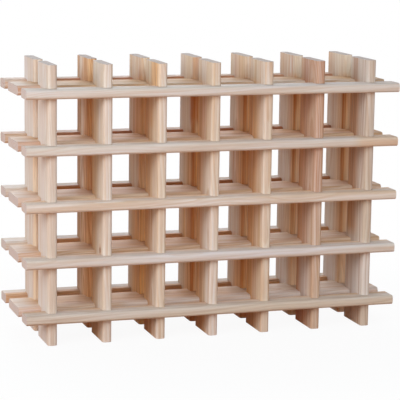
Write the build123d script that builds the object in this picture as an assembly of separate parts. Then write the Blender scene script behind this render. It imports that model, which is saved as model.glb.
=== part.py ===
"""Slot-together wine rack: softwood slats crossing like an egg crate.

Every column has a front and a rear upright, and every layer has a front, a middle and a rear rail.
Where a rail and an upright cross, each is notched to half of their overlap, so that the two push
together from front to back and lock. Millimetres, +Z up, +X to the viewer's right, +Y to the back.
The origin is on the floor, below the middle of the rack.
"""
from build123d import *
import os

# Slats
slat_thickness = 18.0
upright_width = 90.0
middle_rail_width = 90.0
narrow_rail_width = 45.0
edge_radius = 5.5
end_easing = 0.6

# Grid of bottle cells
column_count = 7
layer_count = 5
cell_width = 88.0
cell_height = 88.0

# What stands past the grid
rail_overhang = 44.0
top_stub = 44.0
foot_height = 44.0

# Cross-lap joints
lap_length = 30.0
notch_clearance = 0.2

# Spacing and overall sizes that follow
column_pitch = cell_width + slat_thickness
layer_pitch = cell_height + slat_thickness
rail_length = (column_count - 1) * column_pitch + slat_thickness + 2 * rail_overhang
upright_height = foot_height + (layer_count - 1) * layer_pitch + slat_thickness + top_stub
notch_depth = lap_length / 2
notch_opening = slat_thickness + notch_clearance

# Depth positions from the middle of the rack, the same to the front and to the rear
upright_inner_y = middle_rail_width / 2 - lap_length
upright_y = upright_inner_y + upright_width / 2
narrow_rail_inner_y = upright_inner_y + upright_width - lap_length
narrow_rail_y = narrow_rail_inner_y + narrow_rail_width / 2

FRONT = -1
REAR = 1


def column_x(column):
    """Middle of a column, counted from 0 at the left."""
    return (column - (column_count - 1) / 2) * column_pitch


def layer_z(layer):
    """Underside of the rails of a layer, counted from 0 at the floor."""
    return foot_height + layer * layer_pitch


def notch_cutter(width, edge, middle):
    """A block that cuts one notch into the front or rear edge of a standing slat."""
    past_edge = notch_depth
    block = Box(2 * slat_thickness, notch_depth + past_edge, notch_opening)
    return Pos(0, edge * width / 2, middle) * block


def notched_slat(width, length, notch_middles, notched_edges):
    """A slat standing at the origin, thickness along X: long edges rounded, ends eased, edges notched."""
    blank = extrude(RectangleRounded(slat_thickness, width, edge_radius), length)
    blank = chamfer(blank.faces().filter_by(Axis.Z).edges(), end_easing)
    cutters = [notch_cutter(width, edge, middle) for middle in notch_middles for edge in notched_edges]
    return blank - cutters


def upright():
    """A standing slat that takes a rail in both edges at every layer."""
    # A rail rests on the floor of its notch, so all the play is above it
    middles = [layer_z(layer) + notch_opening / 2 for layer in range(layer_count)]
    return notched_slat(upright_width, upright_height, middles, [FRONT, REAR])


def rail(width, notched_edges):
    """A flat slat along X, centred on the origin, that takes an upright at every column."""
    middles = [rail_length / 2 + column_x(column) for column in range(column_count)]
    standing = notched_slat(width, rail_length, middles, notched_edges)
    return Rot(0, 90, 0) * Pos(0, 0, -rail_length / 2) * standing


def build():
    """Every slat of the rack in its place, by its node name."""
    upright_slat = upright()
    front_slat = rail(narrow_rail_width, [REAR])
    middle_slat = rail(middle_rail_width, [FRONT, REAR])
    rear_slat = rail(narrow_rail_width, [FRONT])
    nodes = {}
    for column in range(column_count):
        x = column_x(column)
        nodes[f"front_upright_{column + 1}"] = Pos(x, FRONT * upright_y, 0) * upright_slat
        nodes[f"rear_upright_{column + 1}"] = Pos(x, REAR * upright_y, 0) * upright_slat
    for layer in range(layer_count):
        z = layer_z(layer) + slat_thickness / 2
        nodes[f"front_rail_{layer + 1}"] = Pos(0, FRONT * narrow_rail_y, z) * front_slat
        nodes[f"middle_rail_{layer + 1}"] = Pos(0, 0, z) * middle_slat
        nodes[f"rear_rail_{layer + 1}"] = Pos(0, REAR * narrow_rail_y, z) * rear_slat
    return nodes


os.makedirs("parts", exist_ok=True)
for name, solid in build().items():
    export_step(solid, f"parts/{name}.step")
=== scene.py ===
"""Slot-together pine wine rack: the slats as modelled pieces, their pine finish, and a plain studio.

Metres, +Z up, +X to the viewer's right, +Y to the back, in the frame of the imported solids.
"""
import logging
import math
from collections.abc import Callable, Iterable
from dataclasses import dataclass, field
from enum import Enum
from functools import partial

import bpy
from mathutils import Matrix, Vector


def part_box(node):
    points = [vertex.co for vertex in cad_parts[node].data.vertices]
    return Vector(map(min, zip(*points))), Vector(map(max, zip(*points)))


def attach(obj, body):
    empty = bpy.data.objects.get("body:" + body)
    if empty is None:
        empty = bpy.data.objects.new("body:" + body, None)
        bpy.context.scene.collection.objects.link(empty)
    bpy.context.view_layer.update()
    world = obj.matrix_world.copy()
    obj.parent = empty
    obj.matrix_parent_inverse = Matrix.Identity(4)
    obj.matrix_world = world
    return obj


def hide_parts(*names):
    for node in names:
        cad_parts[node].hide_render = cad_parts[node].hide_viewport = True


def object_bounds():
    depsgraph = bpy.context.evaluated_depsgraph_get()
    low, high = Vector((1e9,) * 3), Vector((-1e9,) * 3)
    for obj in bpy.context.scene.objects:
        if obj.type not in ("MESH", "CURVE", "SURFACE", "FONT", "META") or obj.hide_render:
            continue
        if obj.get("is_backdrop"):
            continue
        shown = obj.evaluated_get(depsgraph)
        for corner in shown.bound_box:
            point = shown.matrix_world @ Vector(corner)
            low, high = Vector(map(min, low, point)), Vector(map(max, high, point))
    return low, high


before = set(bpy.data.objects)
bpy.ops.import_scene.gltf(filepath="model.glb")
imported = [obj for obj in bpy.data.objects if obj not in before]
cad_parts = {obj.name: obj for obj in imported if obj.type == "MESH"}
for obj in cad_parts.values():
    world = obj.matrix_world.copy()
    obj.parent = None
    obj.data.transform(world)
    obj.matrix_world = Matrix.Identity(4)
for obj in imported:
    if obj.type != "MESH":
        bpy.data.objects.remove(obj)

LOG = logging.getLogger("wine_rack")
MM = 0.001
BODY = "root"

Colour = tuple[float, float, float, float]
Triple = tuple[float, float, float]
Span = tuple[float, float]
Piece = bpy.types.Object
Tree = bpy.types.NodeTree
Inputs = dict[str | int, object]
Socket = bpy.types.NodeSocket
Sockets = bpy.types.bpy_prop_collection

WHITE: Colour = (1.0, 1.0, 1.0, 1.0)
QUARTER_TURN = math.radians(90)
ROUND_PROFILE = 0.5
ACROSS_GRAIN: Triple = (1.0, 1.0, 0.0)
NOISE_MIDDLE = 0.5
NOISE_CENTRE: Triple = (NOISE_MIDDLE, NOISE_MIDDLE, NOISE_MIDDLE)

# Where the Mix node keeps the sockets that it uses for colours
MIX_SHARE, MIX_FIRST, MIX_SECOND = 0, 6, 7
MIX_RESULT = 2


def srgb(red: int, green: int, blue: int) -> Colour:
    """Turn a display colour into the linear colour that shaders take.

    Args:
        red: Red, 0 to 255.
        green: Green, 0 to 255.
        blue: Blue, 0 to 255.

    Returns:
        The linear colour with full alpha.
    """
    def linear(level: int) -> float:
        """Undo the display curve of one channel."""
        share = level / 255
        return share / 12.92 if share <= 0.04045 else ((share + 0.055) / 1.055) ** 2.4

    return linear(red), linear(green), linear(blue), 1.0


class Edge(Enum):
    """The long edge of a slat that a notch is cut into."""

    FRONT = -1
    REAR = 1


class Cut(Enum):
    """How a slat lay in the log: where the pith runs, across its thickness and its width, in mm."""

    FLAT = (46.0, 6.0)
    FLAT_FRONT = (40.0, 26.0)
    FLAT_REAR = (-42.0, -22.0)
    RIFT = (60.0, 74.0)
    QUARTER = (8.0, 112.0)


@dataclass(frozen=True)
class PineTone:
    """Colours of one pine board: early wood, its yellower parts, late wood, heartwood and resinous streaks;
    the heartwood and streak colours also paint shade.
    """

    early: Colour
    straw: Colour
    late: Colour
    heart_and_shade: Colour
    resin_and_shade: Colour


class Tone(Enum):
    """The board colours that show in the rack."""

    PALE = PineTone(
        early=srgb(222, 214, 210), straw=srgb(220, 210, 198), late=srgb(206, 182, 160),
        heart_and_shade=srgb(238, 200, 148), resin_and_shade=srgb(194, 130, 76))
    CREAM = PineTone(
        early=srgb(227, 215, 204), straw=srgb(226, 209, 186), late=srgb(208, 178, 148),
        heart_and_shade=srgb(238, 191, 126), resin_and_shade=srgb(190, 118, 58))
    STRAW = PineTone(
        early=srgb(227, 212, 198), straw=srgb(225, 205, 179), late=srgb(205, 169, 133),
        heart_and_shade=srgb(238, 184, 114), resin_and_shade=srgb(186, 108, 46))
    HONEY = PineTone(
        early=srgb(226, 209, 192), straw=srgb(224, 201, 170), late=srgb(200, 157, 116),
        heart_and_shade=srgb(238, 180, 106), resin_and_shade=srgb(178, 98, 38))
    AMBER = PineTone(
        early=srgb(228, 204, 178), straw=srgb(226, 193, 153), late=srgb(194, 137, 88),
        heart_and_shade=srgb(234, 167, 94), resin_and_shade=srgb(166, 86, 30))
    ROSE = PineTone(
        early=srgb(215, 195, 180), straw=srgb(212, 187, 161), late=srgb(188, 144, 112),
        heart_and_shade=srgb(226, 163, 104), resin_and_shade=srgb(172, 92, 42))
    GREY = PineTone(
        early=srgb(217, 205, 193), straw=srgb(214, 198, 177), late=srgb(188, 160, 136),
        heart_and_shade=srgb(218, 165, 106), resin_and_shade=srgb(162, 94, 44))


class StainAndShade(Enum):
    """What a band along a slat is: heartwood and resinous streaks, which also paint shade, and sapwood, which
    also paints light.
    """

    HEART = "Heart"
    RESIN = "Resin"
    SAP = "Sap"


class Noise(Enum):
    """The noises in the wood: cells for each mm of thickness, width and length, octaves, and seed shift."""

    PITH = ((0.006, 0.006, 0.005), 1.0, 0.0)
    RIPPLE = ((0.10, 0.10, 0.006), 2.0, 7.0)
    FIBRE = ((1.4, 1.4, 0.035), 3.0, 3.0)
    STREAK = ((0.13, 0.13, 0.003), 2.0, 11.0)
    DRIFT = ((0.035, 0.035, 0.002), 2.0, 17.0)
    BEND = ((0.02, 0.02, 0.006), 2.0, 0.0)
    THREAD = ((0.5, 0.5, 0.006), 2.0, 0.0)
    KNOT = ((0.2, 0.2, 0.2), 2.0, 0.0)


@dataclass(frozen=True)
class Band:
    """A band of other wood along a slat, which many bands use as painted shade and painted light.

    Its middle across the slat, its start and its end are in mm from the slat's middle, its width in mm. The
    slant is how far the band moves sideways for each mm of thickness: 1 lays it round the left front arris.
    """

    stain_and_shade: StainAndShade
    across: float
    width: float
    strength: float
    start: float = -400.0
    end: float = 400.0
    slant: float = 0.4


@dataclass(frozen=True)
class Knot:
    """A small knot: its place from the slat's middle and its half width in mm, and how long it is drawn."""

    across: float
    along: float
    radius: float
    stretch: float


@dataclass(frozen=True)
class Board:
    """The wood of one slat: lengths in mm, and the lean of its grain in degrees."""

    tone: Tone
    cut: Cut
    seed: float
    ring_width: float = 5.5
    contrast: float = 0.8
    streaks: float = 0.8
    lean: float = 1.6
    bands: tuple[Band, ...] = ()
    knots: tuple[Knot, ...] = ()


# Bands that several slats share, and the board of every slat. In mm from the middle of an upright, its
# foot lies below -221, its upper end above 221, and the layers of rails are 106 apart. From the middle of a
# rail, its left end lies below -327. A band fades over 30 mm past its start and its end.
# Heartwood and resinous bands darken and warm the wood, as real heartwood and streaks and as painted shade;
# sapwood bands pale it, as real sapwood and as painted light.
heart_and_shade, resin_and_shade, sap_and_light = (partial(Band, stain_and_shade) for stain_and_shade in StainAndShade)
# Painted shade along the rear edge of a front upright, where it faces the gap to the rear upright.
PAINTED_SEAM_SHADE = resin_and_shade(50, 18, 0.4, end=205)
# Painted shade on the feet of the front uprights, warmer and darker towards the rear edge, deep under the
# lowest rails.
PAINTED_WARM_FOOT_SHADE = heart_and_shade(26, 100, 1.0, end=-240)
PAINTED_FOOT_SHADE = (PAINTED_WARM_FOOT_SHADE, resin_and_shade(30, 80, 0.5, end=-240))
PAINTED_DEEP_FOOT_SHADE = (PAINTED_WARM_FOOT_SHADE, resin_and_shade(30, 80, 0.6, end=-240), resin_and_shade(34, 50, 0.9, end=-240))
# Painted shade over the whole foot of a rear upright.
PAINTED_HEEL_SHADE = resin_and_shade(0, 200, 0.4, end=-235)
PAINTED_DARK_HEEL_SHADE = resin_and_shade(0, 200, 1.0, end=-235)
PALE_END = sap_and_light(0, 200, 0.7, end=-345)
# Painted light along the front edge of a front upright, where the light comes into the cells.
PAINTED_EDGE_LIGHT = sap_and_light(-50, 30, 0.4)
# Painted shade round the left front arris of a rear upright, which faces the gap behind the front upright.
PAINTED_WARM_EDGE_SHADE = heart_and_shade(-50, 26, 0.8, end=205, slant=1.0)
PAINTED_DARK_EDGE_SHADE = resin_and_shade(-52, 10, 0.9, end=205, slant=1.0)
PAINTED_FADING_EDGE_SHADE = (resin_and_shade(-52, 10, 1.0, 10, 205, slant=1.0), resin_and_shade(-52, 10, 0.6, -90, 10, slant=1.0))
# Painted shade, warmer and darker, on the rear half of a front rail, towards the gap behind it.
PAINTED_BACK_SHADE = heart_and_shade(24, 44, 0.7)
# Painted shade, warmer and darker, across the top of a middle rail inside the rack.
PAINTED_TOP_SHADE = heart_and_shade(4, 84, 0.5, -330)
# Painted shade on the front edge of a middle rail's left overhang, behind the front rail.
PAINTED_CORNER_SHADE = resin_and_shade(-46, 16, 0.3, end=-320)
PAINTED_DARK_CORNER_SHADE = resin_and_shade(-46, 16, 0.5, end=-320)
# Painted shade, warmer and darker, on the front part of a rear rail past its left overhang, in the gap behind
# the middle rail.
PAINTED_FRONT_SHADE = (heart_and_shade(-25, 18, 0.4, -310), resin_and_shade(-25, 16, 0.6, -310))
PAINTED_DARK_FRONT_SHADE = (heart_and_shade(-25, 18, 1.0, -310), resin_and_shade(-25, 16, 0.7, -310))

BOARDS: dict[str, Board] = {
    # Front uprights: the heartwood and resinous bands along the rear edge (across 20 to 50) and on the feet
    # are painted shade deep in the cells; the sapwood bands near the front edge are painted light, and the
    # wide sapwood bands low on the last two columns make their lowest cell paler.
    "front_upright_1": Board(Tone.PALE, Cut.FLAT_FRONT, 1.3, contrast=0.6, bands=(
        heart_and_shade(-44, 18, 0.15),)),
    "front_upright_2": Board(Tone.CREAM, Cut.RIFT, 2.7, bands=(
        heart_and_shade(46, 92, 0.9, end=205), heart_and_shade(42, 30, 0.4, 218),
        resin_and_shade(32, 8, 0.3), PAINTED_EDGE_LIGHT, PAINTED_SEAM_SHADE, *PAINTED_FOOT_SHADE), knots=(Knot(-22, -90, 3.5, 1.8),)),
    "front_upright_3": Board(Tone.STRAW, Cut.FLAT, 3.1, bands=(
        heart_and_shade(46, 96, 0.9, end=205), heart_and_shade(-12, 52, 0.8, 215, slant=-1.0), PAINTED_EDGE_LIGHT,
        heart_and_shade(20, 70, 0.8, 150, 205), resin_and_shade(24, 26, 0.35, 110, 205),
        resin_and_shade(30, 26, 0.35, -97, -20), resin_and_shade(-9, 6, 0.5, -70, -20),
        PAINTED_SEAM_SHADE, *PAINTED_DEEP_FOOT_SHADE)),
    "front_upright_4": Board(Tone.STRAW, Cut.FLAT_FRONT, 4.9, bands=(
        heart_and_shade(46, 96, 0.9, end=205), sap_and_light(-4, 64, 0.8, -100, -10), PAINTED_EDGE_LIGHT,
        sap_and_light(-10, 30, 0.6, 10, 90), resin_and_shade(4, 44, 0.3, 100, 200),
        resin_and_shade(34, 20, 0.3, 5, 97), resin_and_shade(20, 8, 0.35, -90, 60),
        PAINTED_SEAM_SHADE, *PAINTED_DEEP_FOOT_SHADE)),
    "front_upright_5": Board(Tone.HONEY, Cut.QUARTER, 5.2, bands=(
        heart_and_shade(44, 110, 0.95, end=205), resin_and_shade(22, 14, 0.4, 110, 205), PAINTED_EDGE_LIGHT,
        resin_and_shade(16, 34, 0.25, 5, 97), resin_and_shade(30, 10, 0.3, end=100), PAINTED_SEAM_SHADE, *PAINTED_DEEP_FOOT_SHADE)),
    "front_upright_6": Board(Tone.ROSE, Cut.FLAT_FRONT, 6.6, bands=(
        heart_and_shade(46, 110, 0.8, -110, 205), resin_and_shade(-40, 76, 0.35, 215),
        resin_and_shade(10, 30, 0.5, 210), resin_and_shade(-44, 32, 0.32, 10, 205),
        resin_and_shade(-10, 70, 0.3, 180, 205), sap_and_light(0, 56, 0.7, -205, -125),
        heart_and_shade(46, 50, 0.7, -205, -125), sap_and_light(-4, 50, 0.3, -125, 97),
        resin_and_shade(31, 8, 0.35), PAINTED_SEAM_SHADE, *PAINTED_DEEP_FOOT_SHADE)),
    "front_upright_7": Board(Tone.GREY, Cut.RIFT, 7.4, bands=(
        resin_and_shade(12, 24, 0.5, 212), heart_and_shade(28, 76, 0.9, -70, 205),
        resin_and_shade(10, 18, 0.4, -60, 205), resin_and_shade(28, 7, 0.35, -60, 205),
        resin_and_shade(-33, 6, 0.3), sap_and_light(10, 160, 0.9, -205, -115),
        heart_and_shade(18, 36, 0.2, -205, -120), resin_and_shade(26, 7, 0.3, -205, -120), PAINTED_SEAM_SHADE,
        heart_and_shade(26, 100, 0.8, end=-240), resin_and_shade(30, 60, 0.1, end=-240))),
    # Rear uprights: the heartwood and resinous bands along the front edge (across -20 to -52) are painted
    # shade deep in the cells and in the gap behind the front uprights; the sapwood bands along the rear edge
    # are painted light, and the wide sapwood bands low on the last two columns make their lowest cell paler.
    "rear_upright_1": Board(Tone.PALE, Cut.FLAT, 8.5, ring_width=7, bands=(
        heart_and_shade(-46, 18, 0.65, end=90), heart_and_shade(-46, 18, 0.35, 90))),
    "rear_upright_2": Board(Tone.AMBER, Cut.FLAT, 9.8, contrast=1.0, lean=3, bands=(
        heart_and_shade(-46, 70, 0.7, end=205), resin_and_shade(-50, 16, 0.4, 5, 205, slant=1.0),
        sap_and_light(-8, 36, 0.5, 10, 190), heart_and_shade(-32, 44, 0.4, 212),
        sap_and_light(6, 40, 0.5, 218), sap_and_light(46, 70, 0.5, -205, -120),
        resin_and_shade(-26, 22, 0.3, 212), resin_and_shade(22, 12, 0.35), PAINTED_HEEL_SHADE)),
    "rear_upright_3": Board(Tone.HONEY, Cut.FLAT_FRONT, 10.2, bands=(
        heart_and_shade(-40, 92, 1.0, end=-15), heart_and_shade(-40, 88, 0.9, 105, 205), PAINTED_WARM_EDGE_SHADE,
        sap_and_light(46, 60, 0.7, end=205), sap_and_light(-10, 130, 0.25, 10, 90),
        resin_and_shade(-10, 40, 0.3, 110, 205), resin_and_shade(-38, 20, 0.5, 218, 226))),
    "rear_upright_4": Board(Tone.STRAW, Cut.RIFT, 11.7, bands=(
        heart_and_shade(-46, 80, 0.9, end=100), resin_and_shade(-42, 26, 1.0, 150, 205), PAINTED_WARM_EDGE_SHADE,
        PAINTED_DARK_EDGE_SHADE, resin_and_shade(-36, 10, 0.6, -80, -35),
        sap_and_light(-15, 60, 0.15, 110, 205), sap_and_light(46, 60, 0.6),
        heart_and_shade(-20, 86, 0.8, -100, -10), resin_and_shade(-38, 30, 0.35, -97, -20),
        resin_and_shade(-49, 14, 0.6, 215), resin_and_shade(-24, 8, 0.3, end=100), PAINTED_DARK_HEEL_SHADE)),
    "rear_upright_5": Board(Tone.STRAW, Cut.FLAT, 12.4, bands=(
        heart_and_shade(-46, 88, 0.9, 5, 205), heart_and_shade(-46, 104, 1.0, -205, -118), PAINTED_WARM_EDGE_SHADE,
        PAINTED_DARK_EDGE_SHADE, sap_and_light(46, 70, 0.9, end=205), sap_and_light(-10, 110, 0.2, -97, -15),
        resin_and_shade(-42, 20, 0.4, 5, 97), resin_and_shade(-12, 14, 0.4, 5, 97),
        resin_and_shade(9, 14, 0.5, 5, 97), resin_and_shade(-30, 44, 0.3, -200, -120),
        heart_and_shade(-24, 50, 0.4, 215), resin_and_shade(6, 18, 0.3, 215), PAINTED_DARK_HEEL_SHADE)),
    "rear_upright_6": Board(Tone.CREAM, Cut.FLAT_FRONT, 13.9, bands=(
        heart_and_shade(-46, 60, 0.9, 105, 205), heart_and_shade(-46, 80, 0.7, -97, -15), PAINTED_WARM_EDGE_SHADE,
        sap_and_light(-30, 70, 0.4, 5, 97), sap_and_light(46, 80, 0.9, 0, 205),
        resin_and_shade(-31, 8, 0.6, 212), resin_and_shade(-19, 7, 0.5, 212),
        resin_and_shade(18, 44, 0.3, 212), sap_and_light(0, 220, 1.0, -205, -120),
        resin_and_shade(4, 30, 0.2, -90, -10), PAINTED_HEEL_SHADE, *PAINTED_FADING_EDGE_SHADE)),
    "rear_upright_7": Board(Tone.CREAM, Cut.FLAT_REAR, 14.6, bands=(
        heart_and_shade(-46, 60, 0.7, -97, 205), sap_and_light(-24, 70, 0.4, -97, -15), PAINTED_WARM_EDGE_SHADE,
        sap_and_light(46, 70, 0.9, end=205), resin_and_shade(2, 30, 0.25, 10, 205),
        resin_and_shade(26, 30, 0.35, 212), sap_and_light(0, 220, 1.0, -205, -120), *PAINTED_FADING_EDGE_SHADE)),
    "front_rail_1": Board(Tone.GREY, Cut.FLAT, 15.1, contrast=0.5, bands=(PAINTED_BACK_SHADE,)),
    "front_rail_2": Board(Tone.PALE, Cut.RIFT, 16.8, contrast=0.5, bands=(PAINTED_BACK_SHADE,)),
    "front_rail_3": Board(Tone.CREAM, Cut.FLAT_REAR, 17.3, contrast=0.6, bands=(PAINTED_BACK_SHADE,)),
    "front_rail_4": Board(Tone.PALE, Cut.FLAT_FRONT, 18.5, contrast=0.5, bands=(
        PAINTED_BACK_SHADE, heart_and_shade(-10, 60, 0.5, 300), resin_and_shade(-14, 30, 0.15, 316))),
    "front_rail_5": Board(Tone.PALE, Cut.FLAT, 19.9, contrast=0.5),
    # Middle rails: the heartwood bands across the top are painted shade inside the rack, and the sapwood band
    # along the front edge of the lowest one is painted light.
    "middle_rail_1": Board(Tone.STRAW, Cut.FLAT, 20.4, bands=(
        sap_and_light(-46, 30, 0.9, -150), heart_and_shade(4, 84, 0.5, -330, 50), PAINTED_CORNER_SHADE, PALE_END)),
    "middle_rail_2": Board(Tone.HONEY, Cut.FLAT_FRONT, 21.6, bands=(
        heart_and_shade(4, 84, 0.5, -330, 0), PAINTED_CORNER_SHADE, PALE_END)),
    "middle_rail_3": Board(Tone.STRAW, Cut.RIFT, 22.2, contrast=1.0, bands=(
        heart_and_shade(4, 84, 0.35, -330), PAINTED_CORNER_SHADE, PALE_END)),
    "middle_rail_4": Board(Tone.HONEY, Cut.FLAT, 23.7, bands=(PAINTED_TOP_SHADE, PAINTED_DARK_CORNER_SHADE, PALE_END)),
    "middle_rail_5": Board(Tone.HONEY, Cut.FLAT_REAR, 24.1, bands=(PAINTED_TOP_SHADE, PAINTED_DARK_CORNER_SHADE, PALE_END)),
    # Rear rails: the heartwood band along the front of the lowest one is painted shade.
    "rear_rail_1": Board(Tone.GREY, Cut.RIFT, 25.8, bands=(heart_and_shade(-20, 24, 0.9), PALE_END)),
    "rear_rail_2": Board(Tone.PALE, Cut.FLAT, 26.5, bands=PAINTED_DARK_FRONT_SHADE),
    "rear_rail_3": Board(Tone.GREY, Cut.FLAT, 27.2, bands=(*PAINTED_DARK_FRONT_SHADE, PALE_END)),
    "rear_rail_4": Board(Tone.ROSE, Cut.FLAT_FRONT, 28.9, bands=PAINTED_FRONT_SHADE),
    "rear_rail_5": Board(Tone.ROSE, Cut.FLAT, 29.3, bands=PAINTED_FRONT_SHADE),
}


def deselect_all() -> None:
    """Leave edit mode and deselect every object."""
    if bpy.context.object is not None and bpy.context.object.mode != "OBJECT":
        bpy.ops.object.mode_set(mode="OBJECT")
    bpy.ops.object.select_all(action="DESELECT")


def activate(piece: Piece) -> None:
    """Select one object alone and make it active.

    Args:
        piece: The object to work on.
    """
    deselect_all()
    piece.select_set(True)
    bpy.context.view_layer.objects.active = piece


def round_edges(piece: Piece, wanted: Callable[[Vector, Vector], bool], radius: float, segments: int) -> None:
    """Round only the wanted edges of a mesh object.

    Args:
        piece: The mesh object.
        wanted: Tells from an edge's two ends whether it is rounded.
        radius: How far the rounding reaches from the edge.
        segments: How many facets the rounding has.
    """
    activate(piece)
    bpy.ops.object.mode_set(mode="EDIT")
    bpy.ops.mesh.select_mode(type="EDGE")
    bpy.ops.mesh.select_all(action="DESELECT")
    bpy.ops.object.mode_set(mode="OBJECT")
    mesh = piece.data
    for edge in mesh.edges:
        first, second = (mesh.vertices[index].co for index in edge.vertices)
        edge.select = wanted(first, second)
    bpy.ops.object.mode_set(mode="EDIT")
    bpy.ops.mesh.bevel(offset=radius, segments=segments, profile=ROUND_PROFILE, affect="EDGES")
    bpy.ops.object.mode_set(mode="OBJECT")


def add_block(name: str, low: Vector, high: Vector) -> Piece:
    """Add a cube primitive that fills a box.

    Args:
        name: The object's name.
        low: Lowest corner.
        high: Highest corner.

    Returns:
        The new object, its place and size in its mesh.
    """
    deselect_all()
    bpy.ops.mesh.primitive_cube_add(size=1.0, location=(low + high) / 2)
    block = bpy.context.object
    block.name = name
    block.scale = high - low
    bpy.ops.object.transform_apply(location=True, rotation=True, scale=True)
    return block


def apply_modifier(piece: Piece, kind: str, settings: dict[str, object]) -> None:
    """Add one modifier to an object and apply it.

    Args:
        piece: The mesh object.
        kind: The modifier's type.
        settings: The modifier's properties.
    """
    activate(piece)
    bpy.ops.object.modifier_add(type=kind)
    modifier = piece.modifiers[-1]
    for name, value in settings.items():
        setattr(modifier, name, value)
    bpy.ops.object.modifier_apply(modifier=modifier.name)


@dataclass(frozen=True)
class NodeBox:
    """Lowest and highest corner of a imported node."""

    low: Vector
    high: Vector

    @classmethod
    def of(cls, node: str) -> "NodeBox":
        """Read a node's box from the frame."""
        return cls(*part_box(node))

    @property
    def size(self) -> Vector:
        """Length along each axis."""
        return self.high - self.low

    @property
    def centre(self) -> Vector:
        """Middle of the box."""
        return (self.low + self.high) / 2


@dataclass(frozen=True)
class Notch:
    """A notch in one long edge of a standing slat, in the slat's own frame."""

    edge: Edge
    bottom: float
    top: float
    depth: float


@dataclass
class SlatModel:
    """One kind of slat, modelled standing on the origin with its thickness along X and its width along Y."""

    name: str
    thickness: float
    width: float
    length: float
    notches: list[Notch]
    arris_radius: float = 5.5 * MM
    arris_segments: int = 8
    end_easing: float = 0.6 * MM
    end_segments: int = 2
    rim_easing: float = 0.25 * MM
    rim_segments: int = 2
    rim_angle: float = math.radians(50)
    smooth_angle: float = math.radians(35)
    large_face_weight: int = 60

    def build(self) -> Piece:
        """Model the slat.

        Returns:
            The finished mesh object, to be copied.
        """
        half = Vector((self.thickness / 2, self.width / 2, 0))
        slat = add_block(self.name, -half, half + Vector((0, 0, self.length)))
        self.round_arrises(slat)
        self.ease_ends(slat)
        self.cut_notches(slat)
        self.ease_rims(slat)
        return slat

    def round_arrises(self, slat: Piece) -> None:
        """Round the four long edges."""
        round_edges(slat, lambda first, second: abs(first.z - second.z) > self.length / 2,
                    self.arris_radius, self.arris_segments)

    def ease_ends(self, slat: Piece) -> None:
        """Take the sharpness off the outline of both sawn ends."""
        round_edges(slat, lambda first, second: abs(first.z - second.z) < self.length / 2,
                    self.end_easing, self.end_segments)

    def cut_notches(self, slat: Piece) -> None:
        """Cut every notch with a block that reaches past the slat's edge and faces.

        Args:
            slat: The slat with rounded edges.
        """
        blocks = []
        for number, notch in enumerate(self.notches):
            inner = notch.edge.value * (self.width / 2 - notch.depth)
            outer = notch.edge.value * (self.width / 2 + notch.depth)
            low = Vector((-self.thickness, min(inner, outer), notch.bottom))
            high = Vector((self.thickness, max(inner, outer), notch.top))
            blocks.append(add_block(f"{self.name}.cutter.{number}", low, high))
        deselect_all()
        for block in blocks:
            block.select_set(True)
        bpy.context.view_layer.objects.active = blocks[0]
        bpy.ops.object.join()
        cutter = bpy.context.object
        apply_modifier(slat, "BOOLEAN", {"operation": "DIFFERENCE", "solver": "EXACT", "object": cutter})
        activate(cutter)
        bpy.ops.object.delete()

    def ease_rims(self, slat: Piece) -> None:
        """Ease the notch rims a little, then shade the arrises smooth and the faces flat.

        Args:
            slat: The notched slat.
        """
        apply_modifier(slat, "BEVEL", {
            "width": self.rim_easing, "segments": self.rim_segments, "limit_method": "ANGLE",
            "angle_limit": self.rim_angle})
        activate(slat)
        bpy.ops.object.shade_smooth_by_angle(angle=self.smooth_angle)
        apply_modifier(slat, "WEIGHTED_NORMAL", {"keep_sharp": True, "weight": self.large_face_weight})


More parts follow.
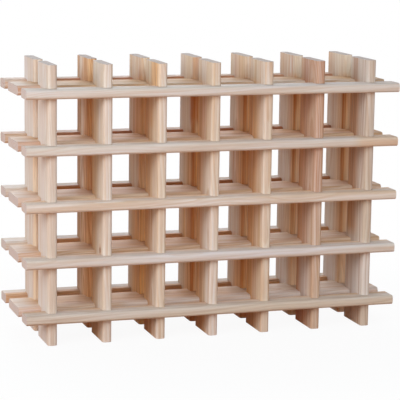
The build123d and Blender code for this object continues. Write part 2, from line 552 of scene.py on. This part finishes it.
@dataclass
class SlatSet:
    """A set of like slats: one is modelled and copied to the place of every node of the set."""

    prefix: str
    count: int
    crossed_by: dict[str, int]
    notch_play: float = 0.2 * MM
    pieces: list[Piece] = field(default_factory=list)

    @property
    def nodes(self) -> list[str]:
        """The set's node names."""
        return [f"{self.prefix}_{number + 1}" for number in range(self.count)]

    def along(self, point: Vector) -> float:
        """Place of a point along the slats' length."""
        raise NotImplementedError

    def stood(self, box: NodeBox) -> Triple:
        """Thickness, width and length of a slat with this box."""
        raise NotImplementedError

    def notch_span(self, low: float, high: float) -> Span:
        """Both sides of the notch for a crossing slat that lies from low to high."""
        raise NotImplementedError

    def placing(self, box: NodeBox) -> Matrix:
        """The move from a standing slat at the origin to its place in the rack."""
        raise NotImplementedError

    def notches(self, box: NodeBox) -> list[Notch]:
        """Work out the notches of a slat from the boxes of the slats that cross it.

        Args:
            box: The slat's own box.

        Returns:
            A notch for every crossing, half of the overlap deep, in the edge that the crossing slat enters.
        """
        found = []
        for prefix, count in self.crossed_by.items():
            for number in range(count):
                other = NodeBox.of(f"{prefix}_{number + 1}")
                low = max(box.low.y, other.low.y)
                high = min(box.high.y, other.high.y)
                edge = Edge.FRONT if low + high < 2 * box.centre.y else Edge.REAR
                start = self.along(box.low)
                bottom, top = self.notch_span(self.along(other.low) - start, self.along(other.high) - start)
                found.append(Notch(edge, bottom, top, (high - low) / 2))
        return found

    def build(self) -> None:
        """Model the set's slat once and copy it to every node's place."""
        first = NodeBox.of(self.nodes[0])
        master = SlatModel(f"{self.prefix}_master", *self.stood(first), self.notches(first)).build()
        for node in self.nodes:
            activate(master)
            bpy.ops.object.duplicate(linked=False)
            slat = bpy.context.object
            slat.name = f"{node}_slat"
            slat.data.name = slat.name
            slat.matrix_world = self.placing(NodeBox.of(node))
            bpy.ops.object.transform_apply(location=True, rotation=True, scale=True)
            self.pieces.append(slat)
        activate(master)
        bpy.ops.object.delete()

    def dress(self, finish: "PineFinish") -> None:
        """Give every slat its own board of pine, and tie it to its node.

        Args:
            finish: The pine finish.
        """
        for node, slat in zip(self.nodes, self.pieces):
            box = NodeBox.of(node)
            material = finish.board(f"pine_{node}", BOARDS[node], self.placing(box), self.stood(box))
            slat.data.materials.clear()
            slat.data.materials.append(material)
            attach(slat, BODY)
            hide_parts(node)
            LOG.info("%s: %d faces", slat.name, len(slat.data.polygons))


class Uprights(SlatSet):
    """Slats that stand on end, thickness along X."""

    def along(self, point: Vector) -> float:
        """Height of a point."""
        return point.z

    def stood(self, box: NodeBox) -> Triple:
        """Thickness, width and length of an upright with this box."""
        return box.size.x, box.size.y, box.size.z

    def notch_span(self, low: float, high: float) -> Span:
        """The rail rests on the notch's floor, with the play above it."""
        return low, high + self.notch_play

    def placing(self, box: NodeBox) -> Matrix:
        """Move the standing slat to its column."""
        return Matrix.Translation((box.centre.x, box.centre.y, box.low.z))


class Rails(SlatSet):
    """Slats that lie flat along X."""

    def along(self, point: Vector) -> float:
        """Place of a point from left to right."""
        return point.x

    def stood(self, box: NodeBox) -> Triple:
        """Thickness, width and length of a rail with this box."""
        return box.size.z, box.size.y, box.size.x

    def notch_span(self, low: float, high: float) -> Span:
        """The upright sits in the middle of the notch, with play on both sides."""
        return low - self.notch_play / 2, high + self.notch_play / 2

    def placing(self, box: NodeBox) -> Matrix:
        """Lay the standing slat flat and move it to its layer."""
        move = Matrix.Translation((box.low.x, box.centre.y, box.centre.z))
        return move @ Matrix.Rotation(QUARTER_TURN, 4, "Y")


class NodeDesk:
    """Adds nodes to one shader tree and links them."""

    def __init__(self, tree: Tree) -> None:
        """Start with an empty tree.

        Args:
            tree: The tree to fill.
        """
        self.tree = tree
        tree.nodes.clear()

    def add(self, kind: str, inputs: Inputs | None = None, **settings: object) -> bpy.types.Node:
        """Add a node.

        Args:
            kind: The node's type.
            inputs: Values or sockets for its inputs.
            settings: The node's properties, which are set before its inputs.

        Returns:
            The node.
        """
        node = self.tree.nodes.new(kind)
        for name, value in settings.items():
            setattr(node, name, value)
        for key, value in (inputs or {}).items():
            if isinstance(value, Socket):
                self.tree.links.new(value, node.inputs[key])
            else:
                node.inputs[key].default_value = value
        return node

    def group(self, tree: Tree, inputs: Inputs) -> Sockets:
        """Place a node group and return its outputs."""
        return self.add("ShaderNodeGroup", inputs, node_tree=tree).outputs

    def math(self, operation: str, *values: object) -> Socket:
        """Add a Math node and return its result."""
        return self.add("ShaderNodeMath", dict(enumerate(values)), operation=operation).outputs[0]

    def vector(self, operation: str, *values: object) -> Socket:
        """Add a Vector Math node and return its vector."""
        return self.add("ShaderNodeVectorMath", dict(enumerate(values)), operation=operation).outputs[0]

    def scaled(self, vector: Socket, factor: Socket) -> Socket:
        """Scale a vector by a factor."""
        return self.add("ShaderNodeVectorMath", {0: vector, "Scale": factor}, operation="SCALE").outputs[0]

    def length(self, vector: Socket) -> Socket:
        """Measure the length of a vector."""
        return self.add("ShaderNodeVectorMath", {0: vector}, operation="LENGTH").outputs["Value"]

    def parts(self, vector: Socket) -> Sockets:
        """Split a vector into its three parts."""
        return self.add("ShaderNodeSeparateXYZ", {0: vector}).outputs

    def ramp(self, value: Socket, start: object, end: object) -> Socket:
        """Rise smoothly from 0 at start to 1 at end."""
        limits = {"Value": value, "From Min": start, "From Max": end}
        return self.add("ShaderNodeMapRange", limits, interpolation_type="SMOOTHSTEP").outputs[0]

    def fall(self, value: Socket, start: object, end: object) -> Socket:
        """Sink smoothly from 1 at start to 0 at end."""
        return self.math("SUBTRACT", 1.0, self.ramp(value, start, end))

    def swing(self, noise: Socket, reach: float, base: object) -> Socket:
        """Move a base value up and down with a noise, by up to half of the reach."""
        return self.math("MULTIPLY_ADD", self.math("SUBTRACT", noise, NOISE_MIDDLE), reach, base)

    def mix(self, share: object, first: object, second: object, blend: str = "MIX") -> Socket:
        """Mix two colours."""
        inputs = {MIX_SHARE: share, MIX_FIRST: first, MIX_SECOND: second}
        return self.add("ShaderNodeMix", inputs, data_type="RGBA", blend_type=blend).outputs[MIX_RESULT]

    def noise(self, place: Socket, kind: Noise, seed: Socket) -> Sockets:
        """Add a noise that is stretched along the grain.

        Args:
            place: Place in the wood, in mm.
            kind: Which of the wood's noises.
            seed: The board's own number.

        Returns:
            The noise as a value and as a colour.
        """
        cells, detail, seed_shift = kind.value
        inputs = {
            "Vector": self.vector("MULTIPLY", place, cells), "W": self.math("ADD", seed, seed_shift),
            "Scale": 1.0, "Detail": detail}
        return self.add("ShaderNodeTexNoise", inputs, noise_dimensions="4D").outputs


def new_group(name: str, inputs: dict[str, Iterable[str]], outputs: dict[str, Iterable[str]]) -> NodeDesk:
    """Start a shader node group.

    Args:
        name: The group's name.
        inputs: The names of its inputs, by their kind.
        outputs: The names of its outputs, by their kind.

    Returns:
        A desk for the group's tree.
    """
    tree = bpy.data.node_groups.new(name, "ShaderNodeTree")
    for side, sockets in (("INPUT", inputs), ("OUTPUT", outputs)):
        for kind, labels in sockets.items():
            for label in labels:
                tree.interface.new_socket(label, in_out=side, socket_type=f"NodeSocket{kind}")
    return NodeDesk(tree)


@dataclass(frozen=True)
class GrainLook:
    """Measures of the grain, in mm or as shares. A span is where a smooth step starts and ends."""

    pith_wander: Triple = (30.0, 30.0, 0.0)
    ring_ripple: float = 3.6
    uneven_pace: float = 0.71
    uneven_rings: float = 0.45
    late_rise: Span = (0.20, 0.90)
    late_fall: Span = (0.90, 1.0)
    ring_seed_step: float = 13.7
    least_vigour: float = 0.3
    vigour_spread: float = 0.7
    late_gloss: float = 0.12
    late_height: float = 0.5
    drift_span: Span = (0.36, 0.64)
    streak_span: Span = (0.42, 0.66)
    streak_strength: float = 0.75
    sap_calm: float = 0.6
    heart_and_shade_darkening: float = 0.6
    fibre_shade: float = 0.26
    fibre_roughness: float = 0.22
    sawn_span: Span = (0.15, 0.8)
    sawn_cover: float = 0.9
    sawn_rings: float = 0.5
    sawn_roughness: float = 0.2
    arris_span: Span = (2.0, 5.5)
    # How much painted shade darkens the rounded long edges, against the highlight that they catch
    arris_painted_shade: float = 0.10
    arris_gloss: float = 0.06


@dataclass(frozen=True)
class BandLook:
    """How bands of other wood bend, thread and fade, in mm or as shares of their width."""

    bend: float = 16.0
    edge_span: Span = (0.15, 0.75)
    thread_span: Span = (0.30, 0.65)
    least_thread: float = 0.55
    thread_spread: float = 0.45
    fade: float = 30.0


@dataclass(frozen=True)
class KnotLook:
    """How far a knot's core and halo reach, in its own radius, and how they show."""

    core_span: Span = (0.7, 1.1)
    halo_span: Span = (0.9, 2.6)
    halo_strength: float = 0.5
    push: float = 1.6
    colour: Colour = srgb(138, 86, 54)


@dataclass
class PineFinish:
    """Planed, untreated pine: growth rings round a pith, fibres, streaks, other wood, knots and end grain,
    with painted shade and light in its bands and painted shade on its long edges.
    """

    roughness: float = 0.76
    specular: float = 0.2
    bump_strength: float = 0.5
    bump_height: float = 0.10 * MM
    end_colour: Colour = srgb(207, 194, 187)
    # Sapwood colour, which the sapwood bands also lay as painted light.
    sapwood_and_light_colour: Colour = srgb(230, 222, 216)
    grain_look: GrainLook = GrainLook()
    band_look: BandLook = BandLook()
    knot_look: KnotLook = KnotLook()
    grain: Tree = field(init=False)
    band: Tree = field(init=False)
    knot: Tree = field(init=False)

    def __post_init__(self) -> None:
        """Build the node groups that every board shares."""
        self.grain = self.grain_group()
        self.band = self.band_group()
        self.knot = self.knot_group()

    def late_wood(self, desk: NodeDesk, given: Sockets) -> Socket:
        """Lay growth rings round a wandering pith.

        Args:
            desk: The desk of the grain group.
            given: The group's inputs.

        Returns:
            The share of late wood, which grows through every ring and ends sharply.
        """
        look = self.grain_look
        seed, log_place = given["Seed"], given["Log Place"]
        wander = desk.vector("SUBTRACT", desk.noise(log_place, Noise.PITH, seed)[1], NOISE_CENTRE)
        bent = desk.vector("MULTIPLY_ADD", wander, look.pith_wander, log_place)
        radius = desk.length(desk.vector("MULTIPLY", bent, ACROSS_GRAIN))
        radius = desk.swing(desk.noise(log_place, Noise.RIPPLE, seed)[0], look.ring_ripple, radius)
        ring = desk.math("DIVIDE", desk.math("ADD", radius, given["Push"]), given["Ring Width"])
        uneven = desk.math("SINE", desk.math("MULTIPLY_ADD", ring, look.uneven_pace, seed))
        ring = desk.math("MULTIPLY_ADD", uneven, look.uneven_rings, ring)
        phase = desk.math("FRACT", ring)
        late = desk.math("MULTIPLY", desk.ramp(phase, *look.late_rise), desk.fall(phase, *look.late_fall))
        ring_seed = desk.math("MULTIPLY_ADD", seed, look.ring_seed_step, desk.math("FLOOR", ring))
        vigour = desk.add("ShaderNodeTexWhiteNoise", {"W": ring_seed}, noise_dimensions="1D").outputs[0]
        vigour = desk.math("MULTIPLY_ADD", vigour, look.vigour_spread, look.least_vigour)
        return desk.math("MULTIPLY", late, vigour)

    def grain_group(self) -> Tree:
        """Make the group that colours pine.

        Returns:
            The group: place in the slat and place in the log in mm, in; colour, roughness and height, out.
        """
        desk = new_group(
            "PineGrain",
            {"Vector": ("Place", "Log Place", "Half Size"),
             "Float": ("Seed", "Ring Width", "Contrast", "Streaks", "Heart", "Resin", "Sap", "Push"),
             "Color": ("Early Wood", "Straw Wood", "Late Wood", "Heartwood", "Resin Wood")},
            {"Color": ("Color",), "Float": ("Roughness", "Height")})
        given = desk.add("NodeGroupInput").outputs
        seed, log_place = given["Seed"], given["Log Place"]
        look = self.grain_look

        # Rings, fibres, wider streaks and slow drifts of hue along the grain; the Sap mask, sapwood and
        # painted light alike, calms rings and streaks
        calm = desk.math("MULTIPLY_ADD", given["Sap"], -look.sap_calm, 1.0)
        late = desk.math("MULTIPLY", self.late_wood(desk, given), calm)
        fibre = desk.noise(log_place, Noise.FIBRE, seed)[0]
        streak = desk.ramp(desk.noise(log_place, Noise.STREAK, seed)[0], *look.streak_span)
        streak = desk.math("MULTIPLY", desk.math("MULTIPLY", streak, given["Streaks"]), calm)
        drift = desk.ramp(desk.noise(log_place, Noise.DRIFT, seed)[0], *look.drift_span)

        # The sawn ends, and the rounded long edges, which are sanded glossier and carry a painted shade that
        # dims their highlight
        inside = desk.vector("SUBTRACT", given["Half Size"], desk.vector("ABSOLUTE", given["Place"]))
        depth = desk.parts(inside)
        sawn = desk.fall(depth[2], *look.sawn_span)
        arris = desk.fall(desk.math("ADD", depth[0], depth[1]), *look.arris_span)

        # The Heart and Resin masks carry painted shade as well as heartwood and resinous streaks, and the Sap
        # mask carries painted light as well as sapwood
        colour = desk.mix(drift, given["Early Wood"], given["Straw Wood"])
        colour = desk.mix(given["Sap"], colour, self.sapwood_and_light_colour)
        colour = desk.mix(given["Heart"], colour, given["Heartwood"])
        darkening = desk.math("MULTIPLY", given["Heart"], look.heart_and_shade_darkening)
        dark = desk.mix(darkening, given["Late Wood"], given["Resin Wood"])
        colour = desk.mix(desk.math("MULTIPLY", streak, look.streak_strength), colour, dark)
        colour = desk.mix(desk.math("MULTIPLY", late, given["Contrast"]), colour, dark)
        colour = desk.mix(given["Resin"], colour, given["Resin Wood"])
        sawn_rings = desk.math("MULTIPLY", late, look.sawn_rings)
        sawn_colour = desk.mix(sawn_rings, self.end_colour, given["Late Wood"])
        colour = desk.mix(desk.math("MULTIPLY", sawn, look.sawn_cover), colour, sawn_colour)
        colour = desk.mix(1.0, colour, desk.swing(fibre, look.fibre_shade, 1.0), "MULTIPLY")
        # Painted shade on the rounded long edges, towards the late wood colour, against their highlight
        colour = desk.mix(desk.math("MULTIPLY", arris, look.arris_painted_shade), colour, given["Late Wood"])

        rough = desk.math("MULTIPLY_ADD", late, -look.late_gloss, self.roughness)
        rough = desk.swing(fibre, look.fibre_roughness, rough)
        rough = desk.math("MULTIPLY_ADD", sawn, look.sawn_roughness, rough)
        rough = desk.math("MULTIPLY_ADD", arris, -look.arris_gloss, rough)
        height = desk.math("MULTIPLY_ADD", late, look.late_height, fibre)
        desk.add("NodeGroupOutput", {"Color": colour, "Roughness": rough, "Height": height})
        return desk.tree

    def band_group(self) -> Tree:
        """Make the group that masks one band: other wood, painted shade and painted light alike.

        Returns:
            The group: place and band in, in mm; the band's mask, out.
        """
        desk = new_group(
            "PineBand",
            {"Vector": ("Place",), "Float": ("Across", "Width", "Start", "End", "Slant", "Seed")},
            {"Float": ("Mask",)})
        given = desk.add("NodeGroupInput").outputs
        look = self.band_look
        bend = desk.noise(given["Place"], Noise.BEND, given["Seed"])[0]
        thread = desk.ramp(desk.noise(given["Place"], Noise.THREAD, given["Seed"])[0], *look.thread_span)
        thread = desk.math("MULTIPLY_ADD", thread, look.thread_spread, look.least_thread)
        place = desk.parts(given["Place"])
        slanted = desk.math("MULTIPLY_ADD", place[0], given["Slant"], place[1])
        away = desk.math("SUBTRACT", desk.swing(bend, look.bend, slanted), given["Across"])
        share = desk.math("DIVIDE", desk.math("ABSOLUTE", away), given["Width"])
        mask = desk.math("MULTIPLY", desk.fall(share, *look.edge_span), thread)
        starting = desk.ramp(place[2], desk.math("SUBTRACT", given["Start"], look.fade), given["Start"])
        ending = desk.fall(place[2], given["End"], desk.math("ADD", given["End"], look.fade))
        mask = desk.math("MULTIPLY", mask, desk.math("MULTIPLY", starting, ending))
        desk.add("NodeGroupOutput", {"Mask": mask})
        return desk.tree

    def knot_group(self) -> Tree:
        """Make the group that lays one knot across a board.

        Returns:
            The group: place and knot in, in mm; the grain's push aside and the knot's masks, out.
        """
        desk = new_group(
            "PineKnot",
            {"Vector": ("Place", "Centre"), "Float": ("Radius", "Stretch", "Seed")},
            {"Float": ("Push", "Core", "Halo")})
        given = desk.add("NodeGroupInput").outputs
        look = self.knot_look
        wobble = desk.noise(given["Place"], Noise.KNOT, given["Seed"])[1]
        wobble = desk.scaled(desk.vector("SUBTRACT", wobble, NOISE_CENTRE), given["Radius"])
        place = desk.vector("ADD", given["Place"], wobble)
        away = desk.parts(desk.vector("SUBTRACT", place, given["Centre"]))
        across = away[1]
        along = desk.math("DIVIDE", away[2], given["Stretch"])
        squared = desk.math("MULTIPLY_ADD", across, across, desk.math("MULTIPLY", along, along))
        distance = desk.math("DIVIDE", desk.math("SQRT", squared), given["Radius"])
        core = desk.fall(distance, *look.core_span)
        halo = desk.fall(distance, *look.halo_span)
        push = desk.math("MULTIPLY", desk.math("MULTIPLY", halo, given["Radius"]), look.push)
        desk.add("NodeGroupOutput", {"Push": push, "Core": core, "Halo": halo})
        return desk.tree

    def places(
            self, desk: NodeDesk, board: Board, placing: Matrix, length: float) -> tuple[Socket, Socket]:
        """Turn object coordinates into places in the wood.

        Args:
            desk: The desk of the board's material.
            board: The wood of the slat.
            placing: The move from a standing slat at the origin to its place.
            length: The slat's length.

        Returns:
            The place from the slat's middle and the place from the log's pith, both in mm.
        """
        here = desk.add("ShaderNodeTexCoord").outputs["Object"]
        back = Matrix.Translation((0, 0, -length / 2)) @ placing.inverted()
        place = desk.add("ShaderNodeMapping", {
            "Vector": here, "Location": back.to_translation() / MM, "Rotation": back.to_euler(),
            "Scale": (1 / MM, 1 / MM, 1 / MM)}).outputs[0]
        lean = math.radians(board.lean)
        log_place = desk.add("ShaderNodeMapping", {
            "Vector": place, "Location": (*board.cut.value, 0.0),
            "Rotation": (lean / 2, lean, 0.0)}).outputs[0]
        return place, log_place

    def stains_and_shades(self, desk: NodeDesk, board: Board, place: Socket) -> Inputs:
        """Lay all bands of a board: other wood, painted shade and painted light.

        Args:
            desk: The desk of the board's material.
            board: The wood of the slat.
            place: Place in the slat, in mm.

        Returns:
            The strongest mask of each kind of band, for the grain group's inputs.
        """
        masks: Inputs = {stain_and_shade.value: 0.0 for stain_and_shade in StainAndShade}
        for band in board.bands:
            mask = desk.group(self.band, {
                "Place": place, "Across": band.across, "Width": band.width, "Start": band.start,
                "End": band.end, "Slant": band.slant, "Seed": board.seed + band.across})["Mask"]
            share = desk.math("MULTIPLY", mask, band.strength)
            masks[band.stain_and_shade.value] = desk.math("MAXIMUM", masks[band.stain_and_shade.value], share)
        return masks

    def board(self, name: str, board: Board, placing: Matrix, stood: Triple) -> bpy.types.Material:
        """Make the material of one slat.

        Args:
            name: The material's name.
            board: The wood of the slat.
            placing: The move from a standing slat at the origin to its place.
            stood: The slat's thickness, width and length.

        Returns:
            The material.
        """
        material = bpy.data.materials.new(name)
        material.use_nodes = True
        desk = NodeDesk(material.node_tree)
        place, log_place = self.places(desk, board, placing, stood[2])
        tone = board.tone.value
        push: object = 0.0
        knots = []
        for knot in board.knots:
            knots.append(desk.group(self.knot, {
                "Place": place, "Centre": (0.0, knot.across, knot.along), "Radius": knot.radius,
                "Stretch": knot.stretch, "Seed": board.seed}))
            push = desk.math("ADD", push, knots[-1]["Push"])
        grain = desk.group(self.grain, {
            "Place": place, "Log Place": log_place, "Seed": board.seed,
            "Half Size": tuple(side / 2 / MM for side in stood),
            "Ring Width": board.ring_width, "Contrast": board.contrast, "Streaks": board.streaks,
            "Push": push, "Early Wood": tone.early, "Straw Wood": tone.straw, "Late Wood": tone.late,
            "Heartwood": tone.heart_and_shade, "Resin Wood": tone.resin_and_shade, **self.stains_and_shades(desk, board, place)})
        colour = grain["Color"]
        for knot in knots:
            halo = desk.math("MULTIPLY", knot["Halo"], self.knot_look.halo_strength)
            colour = desk.mix(halo, colour, tone.resin_and_shade)
            colour = desk.mix(knot["Core"], colour, self.knot_look.colour)
        bump = desk.add("ShaderNodeBump", {
            "Height": grain["Height"], "Strength": self.bump_strength,
            "Distance": self.bump_height}).outputs[0]
        shader = desk.add("ShaderNodeBsdfPrincipled", {
            "Base Color": colour, "Roughness": grain["Roughness"], "Normal": bump,
            "Specular IOR Level": self.specular}).outputs[0]
        desk.add("ShaderNodeOutputMaterial", {"Surface": shader})
        return material


COOL: Triple = (0.935, 1.01, 1.09)
COOL_REAR: Triple = (0.945, 1.01, 1.09)


@dataclass(frozen=True)
class Lamp:
    """A square soft box that looks at the rack."""

    name: str
    place: Triple
    side: float
    power: float
    colour: Triple

    def build(self, target: Vector) -> None:
        """Set up the lamp.

        Args:
            target: What it looks at.
        """
        light = bpy.data.lights.new(self.name, "AREA")
        light.shape = "SQUARE"
        light.size = self.side
        light.energy = self.power
        light.color = self.colour
        lamp = bpy.data.objects.new(self.name, light)
        bpy.context.scene.collection.objects.link(lamp)
        lamp.location = self.place
        lamp.rotation_euler = (target - lamp.location).to_track_quat("-Z", "Y").to_euler()


@dataclass(frozen=True)
class PhotoCamera:
    """The camera of the photograph: where it stands, what it looks at, its tilt and its lens."""

    place: Triple = (-1.0364, -3.2211, 0.8288)
    aim: Triple = (0.0033, 0.0, 0.2490)
    tilt_degrees: float = -0.804
    focal_pixels: float = 1740.5
    frame_pixels: float = 400.0
    sensor_width: float = 36.0
    sight: float = 100.0

    def build(self) -> None:
        """Set up the camera and make it the scene's own."""
        data = bpy.data.cameras.new("photo_camera")
        data.sensor_fit = "HORIZONTAL"
        data.sensor_width = self.sensor_width
        data.lens = self.focal_pixels / self.frame_pixels * self.sensor_width
        data.clip_end = self.sight
        camera = bpy.data.objects.new("photo_camera", data)
        bpy.context.scene.collection.objects.link(camera)
        camera.location = self.place
        view = Vector(self.aim) - camera.location
        level = view.to_track_quat("-Z", "Y").to_matrix()
        tilt = Matrix.Rotation(math.radians(self.tilt_degrees), 3, view.normalized())
        camera.rotation_euler = (tilt @ level).to_euler()
        bpy.context.scene.camera = camera


@dataclass
class Studio:
    """A plain floor that is seen white, soft lamps and a white surround."""

    floor_side: float = 40.0
    floor_drop: float = 0.3 * MM
    floor_colour: Colour = srgb(194, 124, 62)
    floor_seen: Colour = srgb(246, 246, 246)
    floor_white: float = 0.93
    shadow_span: Span = (0.2, 1.0)
    surround: float = 0.02
    lamps: tuple[Lamp, ...] = (
        Lamp("left", (-3.1, -0.9, 0.85), 1.6, 24.0, COOL),
        Lamp("front_left", (-2.4, -1.7, 1.55), 1.6, 44.0, COOL),
        Lamp("front_low", (-1.2, -3.2, 0.8), 1.6, 17.0, COOL),
        Lamp("front", (-0.2, -2.8, 2.3), 1.6, 27.0, COOL),
        Lamp("front_right", (1.2, -3.2, 0.9), 1.6, 15.0, COOL),
        Lamp("right", (2.4, -2.4, 1.0), 1.6, 10.0, COOL),
        Lamp("right_low", (3.1, 0.5, 0.45), 1.6, 18.0, COOL),
        Lamp("rear", (0.3, 3.2, 0.9), 2.0, 58.0, COOL_REAR),
        Lamp("high_rear", (0.3, 2.8, 2.0), 2.0, 44.0, COOL_REAR),
        Lamp("rear_left", (-2.4, 2.4, 1.2), 2.0, 20.0, COOL_REAR),
    )

    @staticmethod
    def seen_directly(desk: NodeDesk) -> Socket:
        """Tell whether a surface is looked at or only lights others.

        Args:
            desk: The desk of the surface's shader.

        Returns:
            1 where the camera, a mirror or a glass sees the surface itself, and 0 elsewhere.
        """
        path = desk.add("ShaderNodeLightPath").outputs
        seen = desk.math("MAXIMUM", path["Is Camera Ray"], path["Is Glossy Ray"])
        return desk.math("MAXIMUM", seen, path["Is Transmission Ray"])

    def build(self, target: Vector) -> None:
        """Set up floor, surround and lamps.

        Args:
            target: The middle of the rack.
        """
        self.build_floor()
        self.build_surround()
        for lamp in self.lamps:
            lamp.build(target)

    def build_floor(self) -> None:
        """Lay a wide floor that looks white, keeps a soft shadow and throws warm light back up."""
        deselect_all()
        bpy.ops.mesh.primitive_plane_add(size=self.floor_side, location=(0, 0, -self.floor_drop))
        floor = bpy.context.object
        floor.name = "studio_floor"
        material = bpy.data.materials.new("pale_floor")
        material.use_nodes = True
        desk = NodeDesk(material.node_tree)
        dull = desk.add("ShaderNodeBsdfDiffuse", {"Color": self.floor_colour}).outputs[0]
        lit = desk.add("ShaderNodeBsdfDiffuse", {"Color": self.floor_seen}).outputs[0]
        white = desk.add("ShaderNodeEmission", {"Color": WHITE, "Strength": 1.0}).outputs[0]
        away = desk.length(desk.add("ShaderNodeTexCoord").outputs["Object"])
        far = desk.ramp(away, *self.shadow_span)
        share = desk.math("MULTIPLY_ADD", far, 1.0 - self.floor_white, self.floor_white)
        shown = desk.add("ShaderNodeMixShader", {0: share, 1: lit, 2: white}).outputs[0]
        mixed = desk.add("ShaderNodeMixShader", {0: self.seen_directly(desk), 1: dull, 2: shown}).outputs[0]
        desk.add("ShaderNodeOutputMaterial", {"Surface": mixed})
        floor.data.materials.append(material)
        floor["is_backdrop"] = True

    def build_surround(self) -> None:
        """Set up a world that looks white and lights the rack gently."""
        world = bpy.data.worlds.new("white_surround")
        bpy.context.scene.world = world
        world.use_nodes = True
        desk = NodeDesk(world.node_tree)
        level = desk.math("MULTIPLY_ADD", self.seen_directly(desk), 1.0 - self.surround, self.surround)
        background = desk.add("ShaderNodeBackground", {"Color": WHITE, "Strength": level}).outputs[0]
        desk.add("ShaderNodeOutputWorld", {"Surface": background})


class WineRack:
    """The whole rack: two sets of uprights and three sets of rails."""

    columns = 7
    layers = 5

    def __init__(self) -> None:
        """Name the sets and what crosses them."""
        uprights = {"front_upright": self.columns, "rear_upright": self.columns}
        self.sets: list[SlatSet] = [
            Uprights("front_upright", self.columns, {"front_rail": self.layers, "middle_rail": self.layers}),
            Uprights("rear_upright", self.columns, {"middle_rail": self.layers, "rear_rail": self.layers}),
            Rails("front_rail", self.layers, {"front_upright": self.columns}),
            Rails("middle_rail", self.layers, uprights),
            Rails("rear_rail", self.layers, {"rear_upright": self.columns}),
        ]

    def build(self) -> None:
        """Model and place every slat."""
        for slats in self.sets:
            slats.build()

    def dress(self, finish: PineFinish) -> None:
        """Give every slat its pine."""
        for slats in self.sets:
            slats.dress(finish)


def main() -> None:
    """Build the rack, the studio and the camera; every slat's face count goes to the log."""
    logging.basicConfig(level=logging.INFO)
    cad_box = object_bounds()
    rack = WineRack()
    rack.build()
    rack.dress(PineFinish())
    Studio().build((cad_box[0] + cad_box[1]) / 2)
    PhotoCamera().build()
    bpy.context.scene.view_settings.view_transform = "Standard"


if __name__ == "__main__":
    main()
